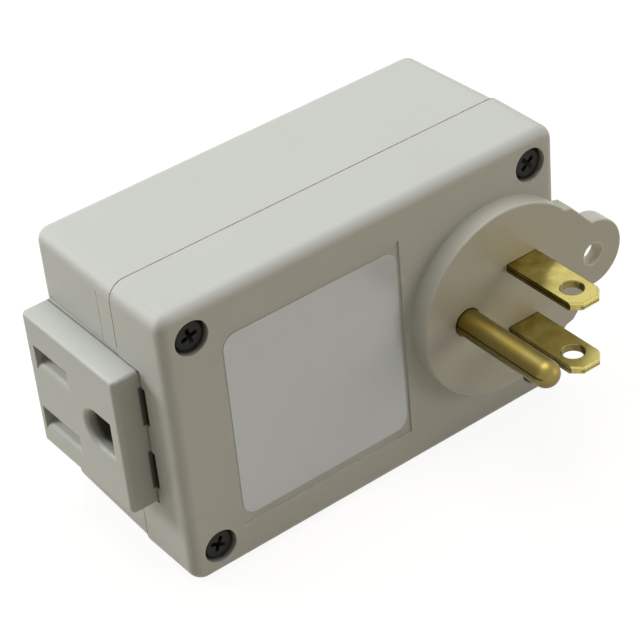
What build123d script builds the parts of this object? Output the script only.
from build123d import *
import math
import os

# Plug-in dimmer lying on one long side, as on a table. +Z is up, +X runs to the ear of the plug
# plate, -X is the outlet end, -Y is the side that carries the prongs and +Y is the front cover.
# The origin is at the middle of the whole part's underside. All sizes are in millimetres.

# Case: two shells that meet at a seam
body_length = 78.3
body_width = 52.5
rear_depth = 13.0
wall = 2.0
corner_radius = 3.0
inner_corner_radius = 1.2
rear_edge_radius = 2.0
front_edge_radius = 2.1
rear_draft = 0.4
front_draft = 1.7
seam_step = 0.2
tongue_height = 1.5
tongue_thickness = 1.0

# Clearances and the overrun of cuts
fit_clearance = 0.05
slide_clearance = 0.2
assembly_clearance = 0.1
overrun = 1.0

# Case screws and the columns that they join
screw_inset = 5.6
rear_column_radius = 3.8
front_column_radius = 3.5
screw_head_radius = 2.75
screw_head_height = 1.9
screw_head_rounding = 0.6
screw_shank_radius = 1.45
screw_length = 18.0
counterbore_radius = 3.05
counterbore_depth = 2.6
recess_cross_length = 3.0
recess_cross_width = 0.75
recess_cross_depth = 1.3
recess_cross_floor = 1.0
recess_cross_turns = [40.0, 15.0, 65.0, 30.0]

# Label and its recess in the rear face
recess_length = 34.9
recess_depth = 0.3
recess_from_end = 10.2
recess_from_side = 7.05
label_end_gap = 0.65
label_side_gap = 1.5
label_thickness = 0.12
label_corner_radius = 2.5

# Standard grounded plug: two flat blades and a round pin
blade_pitch = 12.7
blade_width = 6.35
blade_thickness = 1.5
blade_length = 16.5
blade_tip_chamfer = 1.5
blade_tip_bevel = 0.35
blade_hole_radius = 1.85
blade_hole_from_face = 12.0
blade_hole_bevel = 0.2
blade_fold_gap = 0.12
blade_fold_depth = 0.35
ground_offset = 11.9
pin_radius = 2.375
pin_length = 21.0
pin_tip_rounding = 2.3
pin_seam_gap = 0.16
pin_seam_depth = 0.45
pin_seam_angle = 170.0
pin_root_radius = 2.6
shoulder_width = 8.4
shoulder_thickness = 1.2
pin_shoulder_radius = 3.2
tail_width = 4.0
pin_tail_radius = 1.1
tail_above_board = 1.2
blade_line_from_end = 11.15

# Plug plate: a disc with an ear, and the spigot that fills the opening in the rear shell
disc_radius = 17.5
disc_offset = 3.3
plate_thickness = 3.6
plate_edge_radius = 0.35
ear_hole_from_disc = 19.05
ear_radius = 6.4
ear_hole_radius = 2.1
ear_screw_seat_radius = 3.4
ear_screw_seat_depth = 1.0
flange_step_share = 0.055
flange_root_angle = 42.3
flange_corner_angle = 38.0
spigot_length = 23.0
spigot_width = 25.0
spigot_corner_radius = 2.0
spigot_offset = 4.7
block_overlap = 1.4
block_thickness = 2.6
block_screw_offset = 6.4
block_screw_from_side = 2.1
block_screw_radius = 1.0
block_screw_head_radius = 1.8
block_screw_head_height = 1.2
block_screw_length = 6.2

# Outlet in the end of the case
outlet_proud = 4.8
outlet_breadth = 26.1
outlet_height = 26.2
outlet_from_rear = 7.9
outlet_front_gap = 0.1
outlet_inner_depth = 14.6
outlet_corner_radius = 0.6
outlet_edge_radius = 0.8
outlet_face_thickness = 2.6
outlet_gap = 0.4
outlet_pocket_depth = 0.8
outlet_pocket_length = 7.4
outlet_pocket_pitch = 12.6
outlet_flange_overlap = 1.5
outlet_flange_thickness = 1.5
outlet_rib_thickness = 1.5
outlet_cover_thickness = 1.5
hot_slot_length = 9.6
neutral_slot_length = 11.1
slot_half_height = 1.2
slot_ramp_drop = 1.6
slot_lip_radius = 2.0
cell_height = 5.6
cell_margin = 0.25
ground_hole_radius = 3.25
ground_hole_flat = 3.9
ground_hole_lip_radius = 0.9
cover_screw_place = (-8.6, 9.4)
cover_screw_radius = 1.0
cover_screw_length = 8.0
cover_screw_head_radius = 1.8
cover_screw_head_height = 1.3
witness_line_depth = 17.6
witness_line_width = 0.16
witness_line_cut = 0.12
witness_line_margin = 3.4

# Outlet contacts, bent from brass strip
contact_thickness = 0.6
contact_width = 8.0
contact_root_gap = 1.5
contact_pinch_gap = 0.6
contact_mouth_gap = 1.5
contact_mouth_share = 0.86
contact_pinch_share = 0.66
contact_tail_width = 3.0
contact_tail_length = 2.1
sleeve_bore_radius = 2.5
sleeve_length = 12.0
sleeve_slit = 1.2

# Circuit board, its posts and its screws
board_outlet_gap = 1.55
board_end_gap = 0.75
board_side_gap = 2.75
board_thickness = 1.6
board_under = 7.4
board_notch_clearance = 0.5
post_radius = 2.5
post_shares = [(-0.893, 0.558), (-0.893, -0.558), (0.572, 0.865), (0.572, -0.865)]
board_screw_radius = 1.0
board_screw_length = 5.0
board_screw_head_radius = 1.9
board_screw_head_height = 1.3

# Straps and wires between the prongs, the board and the outlet
strap_thickness = 0.8
strap_width = 4.0
strap_over_tail = 2.0
wire_radius = 0.9
wire_bend = 2.2
wire_run = 0.8

# Push buttons in the underside, with the switches that they press and a light between them
button_from_board_end = 4.8
button_pitch = 9.6
button_radius = 1.6
button_chamfer = 0.3
button_recess = 0.3
button_flange_radius = 2.5
button_flange_thickness = 0.7
button_travel = 0.5
button_stem_radius = 1.3
switch_length = 6.2
switch_depth = 3.6
switch_height = 3.4
plunger_radius = 1.1
plunger_reach = 1.1
plunger_seat = 1.1
light_radius = 1.0
light_flange_radius = 1.5
light_flange_thickness = 0.8
light_length = 3.0
light_depth = 2.6
light_height = 3.6

# Power parts on the board
heatsink_thickness = 2.0
heatsink_width = 27.0
heatsink_front_gap = 3.1
heatsink_lip = 5.0
heatsink_setback = 1.2
heatsink_pin_width = 2.0
heatsink_pin_places = [(0, 10.0), (0, -10.0)]
tab_thickness = 1.3
tab_width = 10.0
tab_lip_gap = 0.5
tab_lift = 4.0
tab_hole_radius = 1.8
tab_hole_drop = 2.8
triac_body_thickness = 4.5
triac_screw_gap = 1.0
lead_pitch = 2.54
lead_size = 0.8
triac_screw_radius = 1.45
triac_screw_head_radius = 2.7
triac_screw_head_height = 2.0
choke_radius = 5.6
choke_edge_gap = 2.2
choke_height = 15.0
choke_flange = 1.5
choke_core_radius = 2.6
choke_winding_margin = 0.6
film_capacitor_length = 16.5
film_capacitor_height = 15.0
film_capacitor_breadth = 7.0
film_capacitor_edge_gap = 1.3
storage_capacitor_radius = 2.5
storage_capacitor_strap_gap = 0.4
storage_capacitor_height = 11.0
crimp_lift = 1.4
crimp_height = 0.8
crimp_depth = 0.4
power_module_length = 21.0
power_module_height = 14.0
power_module_breadth = 7.8
power_module_edge_gap = 0.5
fuse_radius = 4.2
fuse_height = 8.0
varistor_triac_gap = 1.4
varistor_radius = 3.6
varistor_thickness = 3.6
varistor_lift = 1.0
optocoupler_length = 7.4
optocoupler_height = 3.6
optocoupler_breadth = 3.4
optocoupler_lift = 0.6
case_rounding = 0.5

# Radio board, which stands on the main board in a pin strip
radio_board_length = 16.0
radio_front_gap = 2.1
radio_board_thickness = 1.0
radio_can_length = 12.5
radio_can_height = 12.0
radio_can_thickness = 2.2
radio_can_lift = 6.0
header_height = 2.5
header_groove = 1.0
header_width = 2.4
antenna_radius = 0.6
antenna_bend = 5.0
antenna_drop = 1.2
antenna_from_lip = 1.7
antenna_from_edge = 3.5
radio_strap_gap = 3.1

# Places along the board, as shares of its half length from its middle, and the fuse's across it
choke_share = 0.03
film_capacitor_share = -0.51
storage_capacitor_share = 0.72
power_module_share = 0.03
fuse_shares = (0.45, 0.55)
varistor_share = 0.72
optocoupler_share = -0.64
radio_share = -0.53

# Sizes that follow from the ones above
body_depth = outlet_from_rear + outlet_breadth + outlet_front_gap + wall
front_depth = body_depth - rear_depth
outlet_center_depth = outlet_from_rear + outlet_breadth / 2
recess_width = body_width - 2 * recess_from_side
recess_center_x = recess_from_end + recess_length / 2 - body_length / 2
label_length = recess_length - 2 * label_end_gap
label_width = recess_width - 2 * label_side_gap
blade_line_x = body_length / 2 - blade_line_from_end
disc_center_x = blade_line_x - disc_offset
spigot_center_x = blade_line_x - spigot_offset
block_screw_x = blade_line_x - block_screw_offset
block_screw_z = spigot_width / 2 - block_screw_from_side
ear_hole_x = disc_center_x + ear_hole_from_disc
ear_overhang = ear_hole_x + ear_radius - body_length / 2
body_center_x = (outlet_proud - ear_overhang) / 2
center_z = body_width / 2
rear_face_y = (pin_length + plate_thickness - body_depth) / 2
inner_length = body_length - 2 * wall
inner_width = body_width - 2 * wall
column_pitch_x = body_length - 2 * screw_inset
column_pitch_z = body_width - 2 * screw_inset
front_shift = front_depth * math.tan(math.radians(front_draft))
blade_z = blade_pitch / 2
pin_x = blade_line_x - ground_offset
board_top = board_under + board_thickness
cover_back = outlet_inner_depth + outlet_cover_thickness
board_left_x = cover_back + board_outlet_gap - body_length / 2
board_right_x = body_length / 2 - wall - board_end_gap
board_width = inner_width - 2 * board_side_gap
board_center_x = (board_left_x + board_right_x) / 2
board_half_length = (board_right_x - board_left_x) / 2
board_half_width = board_width / 2
block_top = wall + block_thickness
slot_line = ground_offset / 2
tail_end = cover_back + contact_tail_length
button_axis_depth = board_top + switch_height / 2
clear_button_x = board_left_x + button_from_board_end
learn_button_x = clear_button_x + button_pitch
post_places = [
    (board_center_x + x_share * board_half_length, z_share * board_half_width)
    for x_share, z_share in post_shares
]
strip_edge = blade_z + strap_width / 2


def rear_view(depth, x=0, z=0):
    """Plane seen from the prong side, `depth` in from the rear face, centred on the case."""
    corner = (body_center_x + x, rear_face_y + depth, center_z + z)
    return Plane(origin=corner, x_dir=(1, 0, 0), z_dir=(0, -1, 0))


def front_view(depth):
    """Plane that faces the front cover, `depth` in from the rear face."""
    return Plane(origin=(body_center_x, rear_face_y + depth, center_z), x_dir=(1, 0, 0), z_dir=(0, 1, 0))


def end_section(depth):
    """Plane across the case, `depth` in from the outlet end, centred on the outlet: local x is +Y."""
    corner = (body_center_x - body_length / 2 + depth, rear_face_y + outlet_center_depth, center_z)
    return Plane(origin=corner, x_dir=(0, 1, 0), z_dir=(1, 0, 0))


def level(z, depth=0):
    """Level plane at height z from the case's middle: local x is +X, local y is +Y."""
    return Plane(origin=(body_center_x, rear_face_y + depth, center_z + z), x_dir=(1, 0, 0), z_dir=(0, 0, 1))


def on_board(share, z, lift=0):
    """Plane `lift` above the board's front side, at a share of its half length and at height z."""
    return rear_view(board_top + lift, board_center_x + share * board_half_length, z)


def finish(piece, label):
    """Names a finished piece and writes it."""
    piece.part.label = label
    export_step(piece.part, f"parts/{label}.step")


def pan_screw(plane, places, head_radius, head_height, shank_radius, length, rounding):
    """Group of screws whose heads stand on the plane and whose shanks run against its normal."""
    with BuildPart() as screws:
        with BuildSketch(plane):
            with Locations(*places):
                Circle(head_radius)
        extrude(amount=head_height)
        fillet(screws.edges().group_by(Axis(plane.origin, plane.z_dir))[-1], radius=rounding)
        with BuildSketch(plane):
            with Locations(*places):
                Circle(shank_radius)
        extrude(amount=-length)
    return screws


def corner_places():
    """The four places of the case screws, in the rear view."""
    half_x = column_pitch_x / 2
    half_z = column_pitch_z / 2
    return [(half_x, half_z), (-half_x, half_z), (-half_x, -half_z), (half_x, -half_z)]


os.makedirs("parts", exist_ok=True)

# Rear shell: tapers towards the plug side, carries the prongs, the board and the push buttons
notch_half_height = outlet_height / 2 + assembly_clearance
notch_low = -outlet_breadth / 2 - outlet_gap
seam_local = rear_depth - outlet_center_depth
flange_start = wall + seam_step + front_shift + fit_clearance
tongue_length = inner_length + 2 * tongue_thickness
tongue_width = inner_width + 2 * tongue_thickness

with BuildPart() as rear_shell:
    with BuildSketch(rear_view(rear_depth)):
        RectangleRounded(body_length, body_width, corner_radius)
    extrude(amount=rear_depth, taper=rear_draft)
    fillet(rear_shell.faces().sort_by(Axis.Y)[0].edges(), radius=rear_edge_radius)
    with BuildSketch(rear_view(wall)):
        RectangleRounded(inner_length, inner_width, inner_corner_radius)
    extrude(amount=-rear_depth, mode=Mode.SUBTRACT)
    # The tongue that enters the front shell
    with BuildSketch(rear_view(rear_depth)):
        RectangleRounded(tongue_length, tongue_width, inner_corner_radius + tongue_thickness)
        RectangleRounded(inner_length, inner_width, inner_corner_radius, mode=Mode.SUBTRACT)
    extrude(amount=-tongue_height)
    # Columns for the case screws, posts for the board and a rib under the outlet
    with BuildSketch(rear_view(wall)):
        with Locations(*corner_places()):
            Circle(rear_column_radius)
    extrude(amount=-(rear_depth - wall))
    with BuildSketch(rear_view(wall)):
        with Locations(*post_places):
            Circle(post_radius)
    extrude(amount=-(board_under - wall))
    rib_depth = outlet_center_depth - outlet_breadth / 2 - assembly_clearance - wall
    with BuildSketch(end_section(flange_start + outlet_flange_thickness + fit_clearance)):
        with Locations((wall + rib_depth / 2 - outlet_center_depth, 0)):
            Rectangle(rib_depth, outlet_height)
    extrude(amount=outlet_rib_thickness)
    # Counterbored holes for the case screws
    with Locations(rear_view(0)):
        with Locations(*corner_places()):
            CounterBoreHole(
                radius=screw_shank_radius + slide_clearance,
                counter_bore_radius=counterbore_radius,
                counter_bore_depth=counterbore_depth,
                depth=rear_depth + overrun,
            )
    # Pilot holes in the board posts
    post_hole_depth = board_screw_length - board_thickness + overrun
    with Locations(rear_view(board_under).rotated((0, 180, 0))):
        with Locations(*[(-x, z) for x, z in post_places]):
            Hole(radius=board_screw_radius + fit_clearance, depth=post_hole_depth)
    # Recess for the label
    with BuildSketch(rear_view(0)):
        with Locations((recess_center_x, 0)):
            Rectangle(recess_length, recess_width)
    extrude(amount=-recess_depth, mode=Mode.SUBTRACT)
    # Opening for the plug plate's spigot
    with BuildSketch(rear_view(-overrun)):
        with Locations((spigot_center_x, 0)):
            RectangleRounded(
                spigot_length + 2 * assembly_clearance,
                spigot_width + 2 * assembly_clearance,
                spigot_corner_radius,
            )
    extrude(amount=-(wall + 2 * overrun), mode=Mode.SUBTRACT)
    # Notch for the outlet, open at the seam, with two pockets beside it
    notch_high = seam_local + tongue_height + overrun
    with BuildSketch(end_section(-overrun)):
        with Locations(((notch_low + notch_high) / 2, 0)):
            Rectangle(notch_high - notch_low, 2 * notch_half_height)
        with Locations((notch_low, outlet_pocket_pitch / 2), (notch_low, -outlet_pocket_pitch / 2)):
            Rectangle(2 * outlet_pocket_depth, outlet_pocket_length)
    extrude(amount=wall + 2 * overrun, mode=Mode.SUBTRACT)
    # Holes in the underside for the buttons and the light
    with BuildSketch(level(-center_z - overrun, button_axis_depth)):
        with Locations((learn_button_x, 0), (clear_button_x, 0)):
            Circle(button_radius + slide_clearance)
        with Locations(((learn_button_x + clear_button_x) / 2, 0)):
            Circle(light_radius + assembly_clearance)
    extrude(amount=wall + 2 * overrun, mode=Mode.SUBTRACT)
finish(rear_shell, "rear_shell")

# Front shell: a deep cover that tapers to the front, stepped in a little from the rear shell
with BuildPart() as front_shell:
    with BuildSketch(front_view(rear_depth)):
        RectangleRounded(body_length - 2 * seam_step, body_width - 2 * seam_step, corner_radius)
    extrude(amount=front_depth, taper=front_draft)
    fillet(front_shell.faces().sort_by(Axis.Y)[-1].edges(), radius=front_edge_radius)
    with BuildSketch(front_view(rear_depth)):
        RectangleRounded(inner_length - 2 * seam_step, inner_width - 2 * seam_step, inner_corner_radius)
    extrude(amount=front_depth - wall, taper=front_draft, mode=Mode.SUBTRACT)
    # Rabbet that takes the rear shell's tongue
    with BuildSketch(front_view(rear_depth)):
        RectangleRounded(
            tongue_length + 2 * assembly_clearance,
            tongue_width + 2 * assembly_clearance,
            inner_corner_radius + tongue_thickness,
        )
    extrude(amount=tongue_height + assembly_clearance, mode=Mode.SUBTRACT)
    # Columns that the case screws bite into
    with BuildSketch(rear_view(rear_depth)):
        with Locations(*corner_places()):
            Circle(front_column_radius)
    extrude(amount=-(front_depth - wall / 2))
    # Wings behind the outlet's flange, which stop it from being pushed in
    wing_height = inner_width / 2 - outlet_height / 2 - slide_clearance
    wing_low = rear_depth + tongue_height + assembly_clearance
    wing_depth = body_depth - wall / 2 - wing_low
    with BuildSketch(end_section(flange_start + outlet_flange_thickness + fit_clearance)):
        wing_z = inner_width / 2 - wing_height / 2
        wing_place = wing_low + wing_depth / 2 - outlet_center_depth
        with Locations((wing_place, wing_z), (wing_place, -wing_z)):
            Rectangle(wing_depth, wing_height)
    extrude(amount=outlet_rib_thickness)
    # Pilot holes for the case screws
    pilot_depth = screw_length - (rear_depth - counterbore_depth) + overrun
    with Locations(rear_view(rear_depth)):
        with Locations(*corner_places()):
            Hole(radius=screw_shank_radius + fit_clearance, depth=pilot_depth)
    # Notch for the outlet, open at the seam
    notch_top = outlet_breadth / 2 + fit_clearance
    with BuildSketch(end_section(-overrun)):
        with Locations(((notch_top + seam_local - overrun) / 2, 0)):
            Rectangle(notch_top - seam_local + overrun, 2 * notch_half_height)
    extrude(amount=flange_start + overrun, mode=Mode.SUBTRACT)
    # Fine line left by the mould, from the outlet to the upper edge of the end face
    line_rise = (witness_line_depth - rear_depth) * math.tan(math.radians(front_draft))
    line_height = body_width / 2 - witness_line_margin - outlet_height / 2
    with BuildSketch(end_section(seam_step + line_rise + witness_line_cut)):
        with Locations((witness_line_depth - outlet_center_depth, outlet_height / 2 + line_height / 2)):
            Rectangle(witness_line_width, line_height)
    extrude(amount=-overrun, mode=Mode.SUBTRACT)
finish(front_shell, "front_shell")

# Case screws: black pan heads with a cross recess, sunk in the rear shell's counterbores
case_screws = pan_screw(
    rear_view(counterbore_depth),
    corner_places(),
    screw_head_radius,
    screw_head_height,
    screw_shank_radius,
    screw_length,
    screw_head_rounding,
)
half_recess = recess_cross_length / 2
with BuildPart() as cross_cutter:
    for plane in (Plane.XZ, Plane.YZ):
        with BuildSketch(plane):
            with BuildLine():
                Polyline(
                    (-half_recess, overrun),
                    (-half_recess, 0),
                    (-recess_cross_floor / 2, -recess_cross_depth),
                    (recess_cross_floor / 2, -recess_cross_depth),
                    (half_recess, 0),
                    (half_recess, overrun),
                    close=True,
                )
            make_face()
        extrude(amount=recess_cross_width / 2, both=True)
with case_screws:
    head_face = rear_view(counterbore_depth - screw_head_height)
    for place, turn in zip(corner_places(), recess_cross_turns):
        cross = cross_cutter.part.moved(head_face.location * Location(place + (0,), (0, 0, turn)))
        add(cross, mode=Mode.SUBTRACT)
finish(case_screws, "case_screws")

# Label: thin film with rounded corners on the floor of the recess
with BuildPart() as label:
    with BuildSketch(rear_view(recess_depth)):
        with Locations((recess_center_x, 0)):
            RectangleRounded(label_length, label_width, label_corner_radius)
    extrude(amount=label_thickness)
finish(label, "label")

# Plug plate: disc and ear outside, spigot through the rear shell
step_radius = disc_radius * (1 + flange_step_share)
root_point = (
    disc_center_x + disc_radius * math.cos(math.radians(flange_root_angle)),
    disc_radius * math.sin(math.radians(flange_root_angle)),
)
step_point = (
    disc_center_x + step_radius * math.cos(math.radians(flange_corner_angle)),
    step_radius * math.sin(math.radians(flange_corner_angle)),
)
prong_slots = [(blade_line_x, blade_z), (blade_line_x, -blade_z)]
block_screw_places = [(block_screw_x, block_screw_z), (block_screw_x, -block_screw_z)]
with BuildPart() as plug_plate:
    with BuildSketch(rear_view(-plate_thickness)):
        with Locations((disc_center_x, 0)):
            Circle(disc_radius)
        with Locations((ear_hole_x, 0)):
            Circle(ear_radius)
        with BuildLine():
            Polyline(
                (disc_center_x, 0),
                root_point,
                step_point,
                (ear_hole_x, ear_radius),
                (ear_hole_x, -ear_radius),
                (step_point[0], -step_point[1]),
                (root_point[0], -root_point[1]),
                close=True,
            )
        make_face()
    extrude(amount=-plate_thickness)
    fillet(plug_plate.faces().sort_by(Axis.Y)[0].edges(), radius=plate_edge_radius)
    with BuildSketch(rear_view(0)):
        with Locations((spigot_center_x, 0)):
            RectangleRounded(spigot_length, spigot_width, spigot_corner_radius)
    extrude(amount=-wall)
    with BuildSketch(rear_view(wall)):
        with Locations(*prong_slots):
            Rectangle(blade_width + 2 * fit_clearance, blade_thickness + 2 * fit_clearance)
        with Locations((pin_x, 0)):
            Circle(pin_root_radius + fit_clearance)
        with Locations((ear_hole_x, 0)):
            Circle(ear_hole_radius)
    extrude(amount=plate_thickness + wall + overrun, mode=Mode.SUBTRACT)
    with BuildSketch(rear_view(0)):
        with Locations((ear_hole_x, 0)):
            Circle(ear_screw_seat_radius)
    extrude(amount=ear_screw_seat_depth, mode=Mode.SUBTRACT)
    with BuildSketch(rear_view(wall)):
        with Locations(*block_screw_places):
            Circle(block_screw_radius + fit_clearance)
    extrude(amount=block_screw_length - block_thickness + block_screw_head_height, mode=Mode.SUBTRACT)
finish(plug_plate, "plug_plate")

# Flat blades: folded strip with chamfered and bevelled tips, a hole, a shoulder and a tail
tail_end_depth = board_top + tail_above_board
blade_tip_y = -plate_thickness - blade_length


def blade(z):
    """One flat blade whose middle plane is at height z from the case's middle."""
    half = blade_width / 2
    shoulder_half = shoulder_width / 2
    tail_half = tail_width / 2
    with BuildPart() as prong:
        with BuildSketch(level(z)):
            with BuildLine():
                Polyline(
                    (blade_line_x - half + blade_tip_chamfer, blade_tip_y),
                    (blade_line_x + half - blade_tip_chamfer, blade_tip_y),
                    (blade_line_x + half, blade_tip_y + blade_tip_chamfer),
                    (blade_line_x + half, wall),
                    (blade_line_x + shoulder_half, wall),
                    (blade_line_x + shoulder_half, wall + shoulder_thickness),
                    (blade_line_x + tail_half, wall + shoulder_thickness),
                    (blade_line_x + tail_half, tail_end_depth),
                    (blade_line_x - tail_half, tail_end_depth),
                    (blade_line_x - tail_half, wall + shoulder_thickness),
                    (blade_line_x - shoulder_half, wall + shoulder_thickness),
                    (blade_line_x - shoulder_half, wall),
                    (blade_line_x - half, wall),
                    (blade_line_x - half, blade_tip_y + blade_tip_chamfer),
                    close=True,
                )
            make_face()
        extrude(amount=blade_thickness / 2, both=True)
        tip_low = rear_face_y + blade_tip_y - fit_clearance
        tip_high = rear_face_y + blade_tip_y + blade_tip_chamfer - fit_clearance
        tip_edges = prong.edges().filter_by_position(Axis.Y, tip_low, tip_high)
        chamfer(tip_edges.filter_by(Axis.Z, reverse=True), length=blade_tip_bevel)
        # The open edge of the fold runs along the outlet side and round the tip
        with BuildSketch(level(z)):
            with Locations((blade_line_x, blade_tip_y)):
                Rectangle(blade_width - 2 * blade_tip_chamfer + 2 * blade_fold_depth, 2 * blade_fold_depth)
            with Locations((blade_line_x - half, (blade_tip_y + blade_tip_chamfer) / 2)):
                Rectangle(2 * blade_fold_depth, -blade_tip_y - blade_tip_chamfer)
        extrude(amount=blade_fold_gap / 2, both=True, mode=Mode.SUBTRACT)
        with BuildSketch(level(z)):
            with Locations((blade_line_x, -plate_thickness - blade_hole_from_face)):
                Circle(blade_hole_radius)
        extrude(amount=blade_thickness, both=True, mode=Mode.SUBTRACT)
        chamfer(prong.edges().filter_by(GeomType.CIRCLE), length=blade_hole_bevel)
    return prong


finish(blade(blade_z), "line_blade")
finish(blade(-blade_z), "neutral_blade")

# Ground pin: rolled sheet with a rounded tip and a seam on the outlet side
with BuildPart() as ground_pin:
    with BuildSketch(rear_view(wall, pin_x)):
        Circle(pin_radius)
    extrude(amount=wall + plate_thickness + pin_length)
    fillet(ground_pin.edges().sort_by(Axis.Y)[0], radius=pin_tip_rounding)
    with BuildSketch(rear_view(wall, pin_x)):
        Circle(pin_root_radius)
    extrude(amount=wall + plate_thickness)
    with BuildSketch(rear_view(wall, pin_x)):
        Circle(pin_shoulder_radius)
    extrude(amount=-shoulder_thickness)
    with BuildSketch(rear_view(wall, pin_x)):
        Circle(pin_tail_radius)
    extrude(amount=-(tail_end_depth - wall))
    with BuildSketch(rear_view(-plate_thickness, pin_x)):
        with PolarLocations(pin_radius, 1, start_angle=pin_seam_angle):
            Rectangle(2 * pin_seam_depth, pin_seam_gap)
    extrude(amount=pin_length, mode=Mode.SUBTRACT)
finish(ground_pin, "ground_pin")

# Prong block: clamps the prongs' shoulders against the spigot, inside the rear shell
with BuildPart() as prong_block:
    with BuildSketch(rear_view(wall)):
        with Locations((spigot_center_x, 0)):
            RectangleRounded(
                spigot_length + 2 * block_overlap, spigot_width + 2 * block_overlap, spigot_corner_radius
            )
    extrude(amount=-block_thickness)
    with BuildSketch(rear_view(wall)):
        with Locations(*prong_slots):
            Rectangle(shoulder_width + 2 * fit_clearance, blade_thickness + 2 * fit_clearance)
        with Locations((pin_x, 0)):
            Circle(pin_shoulder_radius + fit_clearance)
    extrude(amount=-shoulder_thickness, mode=Mode.SUBTRACT)
    with BuildSketch(rear_view(wall)):
        with Locations(*prong_slots):
            Rectangle(tail_width + 2 * fit_clearance, blade_thickness + 2 * fit_clearance)
        with Locations((pin_x, 0)):
            Circle(pin_tail_radius + fit_clearance)
        with Locations(*block_screw_places):
            Circle(block_screw_radius + fit_clearance)
    extrude(amount=-(block_thickness + overrun), mode=Mode.SUBTRACT)
    with BuildSketch(rear_view(block_top)):
        with Locations(*block_screw_places):
            Circle(block_screw_head_radius + slide_clearance)
    extrude(amount=block_screw_head_height, mode=Mode.SUBTRACT)
finish(prong_block, "prong_block")
block_screws = pan_screw(
    front_view(block_top - block_screw_head_height),
    [(x, -z) for x, z in block_screw_places],
    block_screw_head_radius,
    block_screw_head_height,
    block_screw_radius,
    block_screw_length - block_screw_head_height,
    fit_clearance * 2,
)
finish(block_screws, "prong_block_screws")

# Outlet housing: a block through the end of the case, with a cell behind each slot
outlet_back = end_section(outlet_inner_depth)
outlet_face = end_section(-outlet_proud)
face_inner = -outlet_proud + outlet_face_thickness
cells_length = outlet_inner_depth - face_inner
neutral_cell_breadth = neutral_slot_length + 2 * cell_margin
hot_cell_breadth = hot_slot_length + 2 * cell_margin
ground_line = slot_line - ground_offset


def slot_cutter(length, z):
    """Slot through the outlet's face, with a ramp that leads in from its lower side."""
    half = slot_half_height
    out = Plane(
        origin=outlet_face.origin + Vector(0, slot_line, z), x_dir=(1, 0, 0), z_dir=(0, -1, 0)
    )
    with BuildPart() as cutter:
        with BuildSketch(out):
            with BuildLine():
                Polyline(
                    (-overrun, half),
                    (outlet_face_thickness + overrun, half),
                    (outlet_face_thickness + overrun, -half),
                    (outlet_face_thickness, -half),
                    (0, -half - slot_ramp_drop),
                    (-overrun, -half - slot_ramp_drop),
                    close=True,
                )
            make_face()
        extrude(amount=length / 2, both=True)
    return cutter.part


with BuildPart() as outlet_housing:
    with BuildSketch(outlet_face):
        RectangleRounded(outlet_breadth, outlet_height, outlet_corner_radius)
    extrude(amount=outlet_proud + outlet_inner_depth)
    fillet(outlet_housing.faces().sort_by(Axis.X)[0].edges(), radius=outlet_edge_radius)
    with BuildSketch(end_section(flange_start)):
        with Locations((-outlet_flange_overlap / 2, 0)):
            Rectangle(outlet_breadth + outlet_flange_overlap, outlet_height + 2 * outlet_flange_overlap)
    extrude(amount=outlet_flange_thickness)
    with BuildSketch(outlet_back):
        with Locations((slot_line, blade_z)):
            Rectangle(hot_cell_breadth, cell_height)
        with Locations((slot_line, -blade_z)):
            Rectangle(neutral_cell_breadth, cell_height)
    extrude(amount=-cells_length, mode=Mode.SUBTRACT)
    # The ramps below the slots and the rim of the round hole run smoothly into the face
    add(slot_cutter(neutral_slot_length, -blade_z), mode=Mode.SUBTRACT)
    add(slot_cutter(hot_slot_length, blade_z), mode=Mode.SUBTRACT)
    level_edges = outlet_housing.faces().sort_by(Axis.X)[0].edges().filter_by(Axis.Y).sort_by(Axis.Z)
    fillet([level_edges[1], level_edges[3]], radius=slot_lip_radius)
    with BuildSketch(outlet_back):
        with Locations((ground_line, 0)):
            Circle(ground_hole_radius)
        with Locations((ground_line - ground_hole_flat / 2, 0)):
            Rectangle(ground_hole_flat, 2 * ground_hole_radius)
    extrude(amount=-(outlet_inner_depth + outlet_proud + overrun), mode=Mode.SUBTRACT)
    fillet(outlet_housing.edges(Select.LAST).group_by(Axis.X)[0], radius=ground_hole_lip_radius)
    with BuildSketch(outlet_back):
        with Locations(cover_screw_place, (cover_screw_place[0], -cover_screw_place[1])):
            Circle(cover_screw_radius + fit_clearance)
    extrude(amount=-(cover_screw_length - outlet_cover_thickness + overrun), mode=Mode.SUBTRACT)
finish(outlet_housing, "outlet_housing")

# Outlet cover: closes the cells, lets the contacts' tails through
cover_screw_places = [cover_screw_place, (cover_screw_place[0], -cover_screw_place[1])]
tail_places = [(slot_line, blade_z), (slot_line, -blade_z), (ground_line, 0)]
with BuildPart() as outlet_cover:
    with BuildSketch(outlet_back):
        RectangleRounded(outlet_breadth, outlet_height, outlet_corner_radius)
        with Locations(*tail_places):
            Rectangle(
                contact_tail_width + 2 * fit_clearance,
                contact_thickness + 2 * fit_clearance,
                mode=Mode.SUBTRACT,
            )
        with Locations(*cover_screw_places):
            Circle(cover_screw_radius + fit_clearance, mode=Mode.SUBTRACT)
    extrude(amount=outlet_cover_thickness)
finish(outlet_cover, "outlet_cover")
cover_screws = pan_screw(
    end_section(cover_back),
    cover_screw_places,
    cover_screw_head_radius,
    cover_screw_head_height,
    cover_screw_radius,
    cover_screw_length,
    case_rounding,
)
finish(cover_screws, "outlet_cover_screws")


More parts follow.
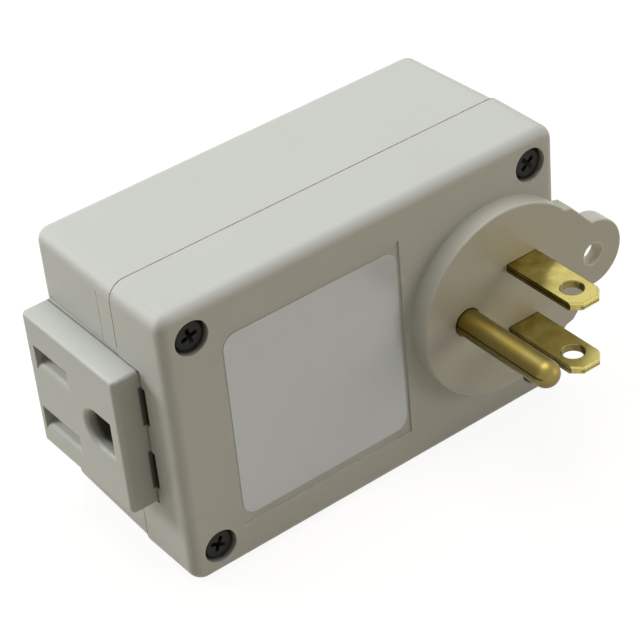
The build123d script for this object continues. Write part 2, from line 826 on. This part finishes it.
def blade_contact(z):
    """Spring contact for a flat blade: two leaves, a bridge against the cover and a tail."""
    mouth = contact_mouth_share * cells_length
    pinch = contact_pinch_share * cells_length
    t = contact_thickness
    side = Plane(
        origin=outlet_back.origin + Vector(0, slot_line, z), x_dir=(1, 0, 0), z_dir=(0, -1, 0)
    )
    with BuildPart() as contact:
        with BuildSketch(side):
            for up in (1, -1):
                with BuildLine():
                    Polyline(
                        (0, up * (contact_root_gap + t)),
                        (-pinch, up * (contact_pinch_gap + t)),
                        (-mouth, up * (contact_mouth_gap + t)),
                        (-mouth, up * contact_mouth_gap),
                        (-pinch, up * contact_pinch_gap),
                        (-t, up * contact_root_gap),
                        (-t, 0),
                        (0, 0),
                        close=True,
                    )
                make_face()
        extrude(amount=contact_width / 2, both=True)
        with BuildSketch(end_section(outlet_inner_depth)):
            with Locations((slot_line, z)):
                Rectangle(contact_tail_width, t)
        extrude(amount=tail_end - outlet_inner_depth)
    return contact


finish(blade_contact(blade_z), "outlet_hot_contact")
finish(blade_contact(-blade_z), "outlet_neutral_contact")

# Ground contact: a slit sleeve on a round foot, with a tail
sleeve_radius = sleeve_bore_radius + contact_thickness
with BuildPart() as outlet_ground_contact:
    with BuildSketch(outlet_back):
        with Locations((ground_line, 0)):
            Circle(sleeve_radius)
    extrude(amount=-sleeve_length)
    with BuildSketch(end_section(outlet_inner_depth - contact_thickness)):
        with Locations((ground_line, 0)):
            Circle(sleeve_bore_radius)
        with Locations((ground_line + sleeve_radius, 0)):
            Rectangle(2 * sleeve_radius, sleeve_slit)
    extrude(amount=-sleeve_length, mode=Mode.SUBTRACT)
    with BuildSketch(outlet_back):
        with Locations((ground_line, 0)):
            Rectangle(contact_tail_width, contact_thickness)
    extrude(amount=tail_end - outlet_inner_depth)
finish(outlet_ground_contact, "outlet_ground_contact")

# Main board: notched round the columns, slotted for the prongs' tails
heatsink_x = board_right_x - heatsink_setback - heatsink_thickness
pin_row_x = heatsink_x + heatsink_thickness / 2
with BuildPart() as main_board:
    with BuildSketch(rear_view(board_top)):
        with Locations((board_center_x, 0)):
            Rectangle(board_right_x - board_left_x, board_width)
        with Locations(*corner_places()):
            Circle(rear_column_radius + board_notch_clearance, mode=Mode.SUBTRACT)
        with Locations(*prong_slots):
            Rectangle(
                tail_width + 2 * assembly_clearance,
                blade_thickness + 2 * assembly_clearance,
                mode=Mode.SUBTRACT,
            )
        with Locations((pin_x, 0)):
            Circle(pin_tail_radius + assembly_clearance, mode=Mode.SUBTRACT)
        with Locations(*post_places):
            Circle(board_screw_radius + assembly_clearance, mode=Mode.SUBTRACT)
        with Locations(*[(pin_row_x, z) for _, z in heatsink_pin_places]):
            Rectangle(
                heatsink_thickness + 2 * assembly_clearance,
                heatsink_pin_width + 2 * assembly_clearance,
                mode=Mode.SUBTRACT,
            )
    extrude(amount=board_thickness)
finish(main_board, "main_board")
board_screws = pan_screw(
    front_view(board_top),
    [(x, -z) for x, z in post_places],
    board_screw_head_radius,
    board_screw_head_height,
    board_screw_radius,
    board_screw_length,
    case_rounding,
)
finish(board_screws, "board_screws")


def strap(from_x, z, to_depth, tail_hole):
    """Flat strap on the board from a prong's tail to the outlet end, turned up to a contact's tail."""
    left_x = tail_end - body_length / 2
    right_x = from_x + strap_over_tail + strap_width / 2
    with BuildPart() as piece:
        with BuildSketch(rear_view(board_top + strap_thickness)):
            with Locations(((left_x + right_x) / 2, z)):
                Rectangle(right_x - left_x, strap_width)
        extrude(amount=strap_thickness)
        with BuildSketch(rear_view(to_depth)):
            with Locations((left_x + strap_thickness / 2, z)):
                Rectangle(strap_thickness, strap_width)
        extrude(amount=to_depth - board_top)
        with BuildSketch(rear_view(board_top + strap_thickness, from_x, z)):
            add(tail_hole)
        extrude(amount=strap_thickness, mode=Mode.SUBTRACT)
    return piece


with BuildSketch() as blade_tail_hole:
    Rectangle(tail_width + 2 * assembly_clearance, blade_thickness + 2 * assembly_clearance)
with BuildSketch() as pin_tail_hole:
    Circle(pin_tail_radius + assembly_clearance)
neutral_depth = outlet_center_depth + slot_line
ground_depth = outlet_center_depth + ground_line
half_tail = contact_tail_width / 2
finish(strap(pin_x, 0, ground_depth + half_tail, pin_tail_hole.sketch), "ground_strap")
finish(strap(blade_line_x, -blade_z, neutral_depth + half_tail, blade_tail_hole.sketch), "neutral_strap")


def spot(x, depth, z):
    """Point of the part, from its place in the rear view."""
    return rear_view(depth, x, z).origin


def wire(points, radius, bend):
    """Round wire through the points, with the same bend at each corner."""
    with BuildPart() as piece:
        with BuildLine() as path:
            FilletPolyline(*points, radius=bend)
        with BuildSketch(Plane(origin=path.line @ 0, z_dir=path.line % 0)):
            Circle(radius)
        sweep()
    return piece


# Load wire: from the hot contact's tail to the board
wire_start_x = tail_end - body_length / 2
wire_end_x = wire_start_x + wire_run + wire_bend
load_points = [
    spot(wire_start_x, neutral_depth, blade_z),
    spot(wire_end_x, neutral_depth, blade_z),
    spot(wire_end_x, board_top, blade_z),
]
finish(wire(load_points, wire_radius, wire_bend), "load_wire")

# Push buttons: caps held inside the wall by a flange, each on the plunger of its switch
switch_face_z = -board_half_width
plunger_tip_z = switch_face_z - plunger_reach
flange_z = -center_z + wall + fit_clearance
plunger_stroke = plunger_seat + button_travel + fit_clearance


def button(x):
    """Cap of a push button: head in the wall, flange inside it, stem to the plunger."""
    with BuildPart() as cap:
        with BuildSketch(level(-center_z + button_recess, button_axis_depth)):
            with Locations((x, 0)):
                Circle(button_radius)
        extrude(amount=flange_z + center_z - button_recess)
        chamfer(cap.edges().sort_by(Axis.Z)[0], length=button_chamfer)
        with BuildSketch(level(flange_z, button_axis_depth)):
            with Locations((x, 0)):
                Circle(button_flange_radius)
        extrude(amount=button_flange_thickness)
        with BuildSketch(level(flange_z, button_axis_depth)):
            with Locations((x, 0)):
                Circle(button_stem_radius)
        extrude(amount=plunger_tip_z - flange_z)
    return cap


def plunger(x):
    """Plunger of a switch, from the button's stem into the switch's bore."""
    with BuildPart() as pin:
        with BuildSketch(level(plunger_tip_z, button_axis_depth)):
            with Locations((x, 0)):
                Circle(plunger_radius)
        extrude(amount=plunger_reach + plunger_seat)
    return pin


def switch(x):
    """Body of a switch on the board's lower edge, with the bore for its plunger."""
    with BuildPart() as body:
        with BuildSketch(rear_view(board_top, x, switch_face_z + switch_depth / 2)):
            Rectangle(switch_length, switch_depth)
        extrude(amount=-switch_height)
        with BuildSketch(level(switch_face_z, button_axis_depth)):
            with Locations((x, 0)):
                Circle(plunger_radius + fit_clearance)
        extrude(amount=plunger_stroke, mode=Mode.SUBTRACT)
    return body


finish(button(learn_button_x), "learn_button")
finish(button(clear_button_x), "clear_button")
finish(plunger(learn_button_x), "learn_plunger")
finish(plunger(clear_button_x), "clear_plunger")
finish(switch(learn_button_x), "learn_switch")
finish(switch(clear_button_x), "clear_switch")

# Status light on the board's edge and the clear rod that leads its light outside
light_x = (learn_button_x + clear_button_x) / 2
with BuildPart() as status_light:
    with BuildSketch(rear_view(board_top, light_x, switch_face_z + light_depth / 2)):
        Rectangle(light_length, light_depth)
    extrude(amount=-light_height)
finish(status_light, "status_light")
with BuildPart() as light_pipe:
    with BuildSketch(level(-center_z + assembly_clearance, button_axis_depth)):
        with Locations((light_x, 0)):
            Circle(light_radius)
    extrude(amount=switch_face_z + center_z - 2 * assembly_clearance)
    with BuildSketch(level(flange_z, button_axis_depth)):
        with Locations((light_x, 0)):
            Circle(light_flange_radius)
    extrude(amount=light_flange_thickness)
finish(light_pipe, "light_pipe")

# Heatsink: bent plate on two pins at the ear end of the board, with the triac screwed to it
heatsink_top = body_depth - wall - heatsink_front_gap
tab_height = heatsink_top - heatsink_thickness - tab_lip_gap - board_top - tab_lift
triac_body_height = tab_height - tab_hole_drop - triac_screw_head_radius - triac_screw_gap
tab_low = board_top + tab_lift
tab_hole_depth = tab_low + tab_height - tab_hole_drop
tab_face = Plane(
    origin=spot(heatsink_x - tab_thickness, tab_hole_depth, 0), x_dir=(0, 1, 0), z_dir=(-1, 0, 0)
)
with BuildPart() as heatsink:
    with BuildSketch(level(0)):
        with BuildLine():
            Polyline(
                (heatsink_x, board_top),
                (heatsink_x + heatsink_thickness, board_top),
                (heatsink_x + heatsink_thickness, heatsink_top),
                (heatsink_x - heatsink_lip, heatsink_top),
                (heatsink_x - heatsink_lip, heatsink_top - heatsink_thickness),
                (heatsink_x, heatsink_top - heatsink_thickness),
                close=True,
            )
        make_face()
    extrude(amount=heatsink_width / 2, both=True)
    with BuildSketch(rear_view(board_top, pin_row_x)):
        with Locations(*heatsink_pin_places):
            Rectangle(heatsink_thickness, heatsink_pin_width)
    extrude(amount=board_thickness + tail_above_board)
    with BuildSketch(tab_face):
        Circle(triac_screw_radius + fit_clearance)
    extrude(amount=-(heatsink_thickness + tab_thickness + overrun), mode=Mode.SUBTRACT)
finish(heatsink, "heatsink")
with BuildPart() as triac:
    with BuildSketch(level(0)):
        with Locations((heatsink_x - triac_body_thickness / 2, tab_low + triac_body_height / 2)):
            Rectangle(triac_body_thickness, triac_body_height)
        with Locations((heatsink_x - tab_thickness / 2, tab_low + tab_height / 2)):
            Rectangle(tab_thickness, tab_height)
    extrude(amount=tab_width / 2, both=True)
    with BuildSketch(rear_view(tab_low, heatsink_x - triac_body_thickness / 2)):
        with Locations((0, lead_pitch), (0, 0), (0, -lead_pitch)):
            Rectangle(lead_size, lead_size)
    extrude(amount=tab_lift)
    with BuildSketch(tab_face):
        Circle(tab_hole_radius)
    extrude(amount=-tab_thickness, mode=Mode.SUBTRACT)
finish(triac, "triac")
triac_screw = pan_screw(
    tab_face,
    [(0, 0)],
    triac_screw_head_radius,
    triac_screw_head_height,
    triac_screw_radius,
    tab_thickness + heatsink_thickness,
    case_rounding,
)
finish(triac_screw, "triac_screw")

# Choke: drum core and its winding
choke_z = board_half_width - choke_edge_gap - choke_radius
with BuildPart() as choke_core:
    with BuildSketch(on_board(choke_share, choke_z)):
        Circle(choke_radius)
    extrude(amount=-choke_height)
    with BuildSketch(on_board(choke_share, choke_z, choke_flange)):
        Circle(choke_radius + overrun)
        Circle(choke_core_radius, mode=Mode.SUBTRACT)
    extrude(amount=-(choke_height - 2 * choke_flange), mode=Mode.SUBTRACT)
finish(choke_core, "choke_core")
with BuildPart() as choke_winding:
    with BuildSketch(on_board(choke_share, choke_z, choke_flange + fit_clearance)):
        Circle(choke_radius - choke_winding_margin)
        Circle(choke_core_radius + fit_clearance, mode=Mode.SUBTRACT)
    extrude(amount=-(choke_height - 2 * choke_flange - 2 * fit_clearance))
finish(choke_winding, "choke_winding")


def moulded(plane, length, breadth, height):
    """Moulded box that stands on the plane, rounded except at its foot."""
    with BuildPart() as piece:
        with BuildSketch(plane):
            RectangleRounded(length, breadth, case_rounding)
        extrude(amount=-height)
        fillet(piece.faces().sort_by(Axis.Y)[-1].edges(), radius=case_rounding)
    return piece


def can(plane, radius, height):
    """Round part that stands on the plane, with a rounded top edge."""
    with BuildPart() as piece:
        with BuildSketch(plane):
            Circle(radius)
        extrude(amount=-height)
        fillet(piece.edges().sort_by(Axis.Y)[-1], radius=case_rounding)
    return piece


# Film capacitor, power module and fuse
film_z = board_half_width - film_capacitor_edge_gap - film_capacitor_breadth / 2
film_plane = on_board(film_capacitor_share, film_z)
film_capacitor = moulded(
    film_plane, film_capacitor_length, film_capacitor_breadth, film_capacitor_height
)
finish(film_capacitor, "film_capacitor")
module_z = board_half_width - power_module_edge_gap - power_module_breadth / 2
module_plane = on_board(power_module_share, -module_z)
power_module = moulded(module_plane, power_module_length, power_module_breadth, power_module_height)
finish(power_module, "power_module")
fuse_plane = on_board(fuse_shares[0], fuse_shares[1] * board_half_width)
finish(can(fuse_plane, fuse_radius, fuse_height), "fuse")

# Storage capacitor: can with a crimped groove above its foot
storage_z = strip_edge + storage_capacitor_strap_gap + storage_capacitor_radius
storage_plane = on_board(storage_capacitor_share, -storage_z)
with BuildPart() as storage_capacitor:
    add(can(storage_plane, storage_capacitor_radius, storage_capacitor_height).part)
    with BuildSketch(on_board(storage_capacitor_share, -storage_z, crimp_lift)):
        Circle(storage_capacitor_radius + overrun)
        Circle(storage_capacitor_radius - crimp_depth, mode=Mode.SUBTRACT)
    extrude(amount=-crimp_height, mode=Mode.SUBTRACT)
finish(storage_capacitor, "storage_capacitor")

# Varistor: disc on edge, on two leads
varistor_z = tab_width / 2 + varistor_triac_gap + varistor_radius
varistor_plane = on_board(varistor_share, varistor_z)
varistor_center = varistor_plane.origin + Vector(0, varistor_lift + varistor_radius, 0)
with BuildPart() as varistor:
    with BuildSketch(Plane(origin=varistor_center, x_dir=(0, 0, 1), z_dir=(1, 0, 0))):
        Circle(varistor_radius)
    extrude(amount=varistor_thickness / 2, both=True)
    fillet(varistor.edges().filter_by(GeomType.CIRCLE), radius=varistor_thickness / 3)
    with BuildSketch(varistor_plane):
        with Locations((0, lead_pitch), (0, -lead_pitch)):
            Circle(lead_size / 2)
    extrude(amount=-(varistor_lift + varistor_radius))
finish(varistor, "varistor")

# Optocoupler: small moulded body on six legs, between the neutral strap and the switches
opto_z = (strip_edge + board_half_width - switch_depth) / 2
leg_row = optocoupler_breadth / 2 + lead_size / 2
with BuildPart() as optocoupler:
    with BuildSketch(on_board(optocoupler_share, -opto_z, optocoupler_lift)):
        Rectangle(optocoupler_length, optocoupler_breadth)
    extrude(amount=-(optocoupler_height - optocoupler_lift))
    for row in (leg_row, -leg_row):
        with BuildSketch(on_board(optocoupler_share, row - opto_z)):
            with Locations((-lead_pitch, 0), (0, 0), (lead_pitch, 0)):
                Rectangle(lead_size, lead_size)
        extrude(amount=-optocoupler_height / 2)
finish(optocoupler, "optocoupler")

# Radio module: board on edge in a grooved pin strip, with a shield can and an antenna wire
radio_low = header_height - header_groove
radio_board_height = body_depth - wall - radio_front_gap - board_top - radio_low
radio_z = strap_width / 2 + radio_strap_gap + radio_board_thickness / 2
with BuildPart() as radio_header:
    with BuildSketch(on_board(radio_share, radio_z)):
        Rectangle(radio_board_length, header_width)
    extrude(amount=-header_height)
    with BuildSketch(on_board(radio_share, radio_z, radio_low)):
        Rectangle(radio_board_length + overrun, radio_board_thickness + 2 * fit_clearance)
    extrude(amount=-header_height, mode=Mode.SUBTRACT)
finish(radio_header, "radio_header")
with BuildPart() as radio_board:
    with BuildSketch(on_board(radio_share, radio_z, radio_low)):
        Rectangle(radio_board_length, radio_board_thickness)
    extrude(amount=-radio_board_height)
finish(radio_board, "radio_board")
with BuildPart() as radio_shield:
    with BuildSketch(on_board(radio_share, radio_z, radio_low + radio_can_lift)):
        with Locations((0, (radio_board_thickness + radio_can_thickness) / 2)):
            Rectangle(radio_can_length, radio_can_thickness)
    extrude(amount=-radio_can_height)
finish(radio_shield, "radio_shield")
antenna_depth = board_top + radio_low + radio_board_height - antenna_drop
radio_x = board_center_x + radio_share * board_half_length
antenna_far_x = heatsink_x - heatsink_lip - antenna_from_lip
antenna_side_z = board_half_width - antenna_from_edge
antenna_points = [
    spot(radio_x + radio_board_length / 2, antenna_depth, radio_z),
    spot(antenna_far_x, antenna_depth, radio_z),
    spot(antenna_far_x, antenna_depth, -antenna_side_z),
    spot(radio_x - radio_board_length / 2, antenna_depth, -antenna_side_z),
]
finish(wire(antenna_points, antenna_radius, antenna_bend), "antenna_wire")
